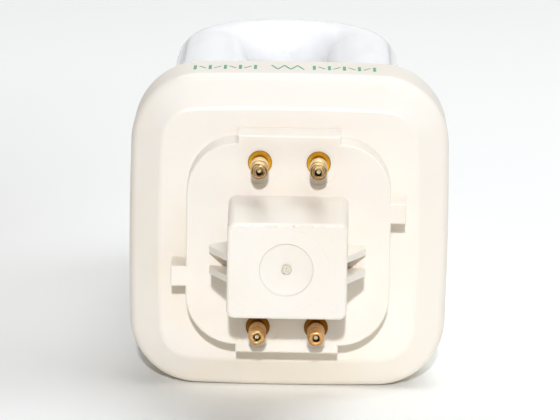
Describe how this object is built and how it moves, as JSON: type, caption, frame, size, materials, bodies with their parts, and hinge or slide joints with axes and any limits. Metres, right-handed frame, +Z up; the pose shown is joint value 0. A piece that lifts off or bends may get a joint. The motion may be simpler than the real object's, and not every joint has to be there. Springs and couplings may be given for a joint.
{
  "type": "four pin compact fluorescent lamp",
  "caption": "Compact fluorescent lamp with a bevelled square cap, contact pins, a keyed post with barbs, and parallel U-shaped glass tubes.",
  "frame": {"origin": "centre of the cap's seating face, on the lamp's axis", "axes": "-Y out of the cap towards the lampholder, +Y along the glass tubes, +Z up with the lamp lying on the flat side of its cap, +X to the right seen from the cap"},
  "size_m": [0.0444, 0.11, 0.0444],
  "materials": {
    "cap_plastic": "satin moulded warm white",
    "holder_plastic": "satin moulded warm white",
    "cement": "matt mineral cement",
    "coated_glass": "glossy glass over a white phosphor coating",
    "pin_brass": "bright drawn brass",
    "lead_metal": "tinned wire"
  },
  "bodies": {
    "root": {"base_cap": "cap_plastic", "tube_holder": "holder_plastic", "leg_cement": "cement", "discharge_tube": "coated_glass", "contact_pin_upper_left": "pin_brass", "contact_pin_upper_right": "pin_brass", "contact_pin_lower_left": "pin_brass", "contact_pin_lower_right": "pin_brass", "lead_wire_upper_left": "lead_metal", "lead_wire_upper_right": "lead_metal", "lead_wire_lower_left": "lead_metal", "lead_wire_lower_right": "lead_metal"}
  },
  "joints": []
}
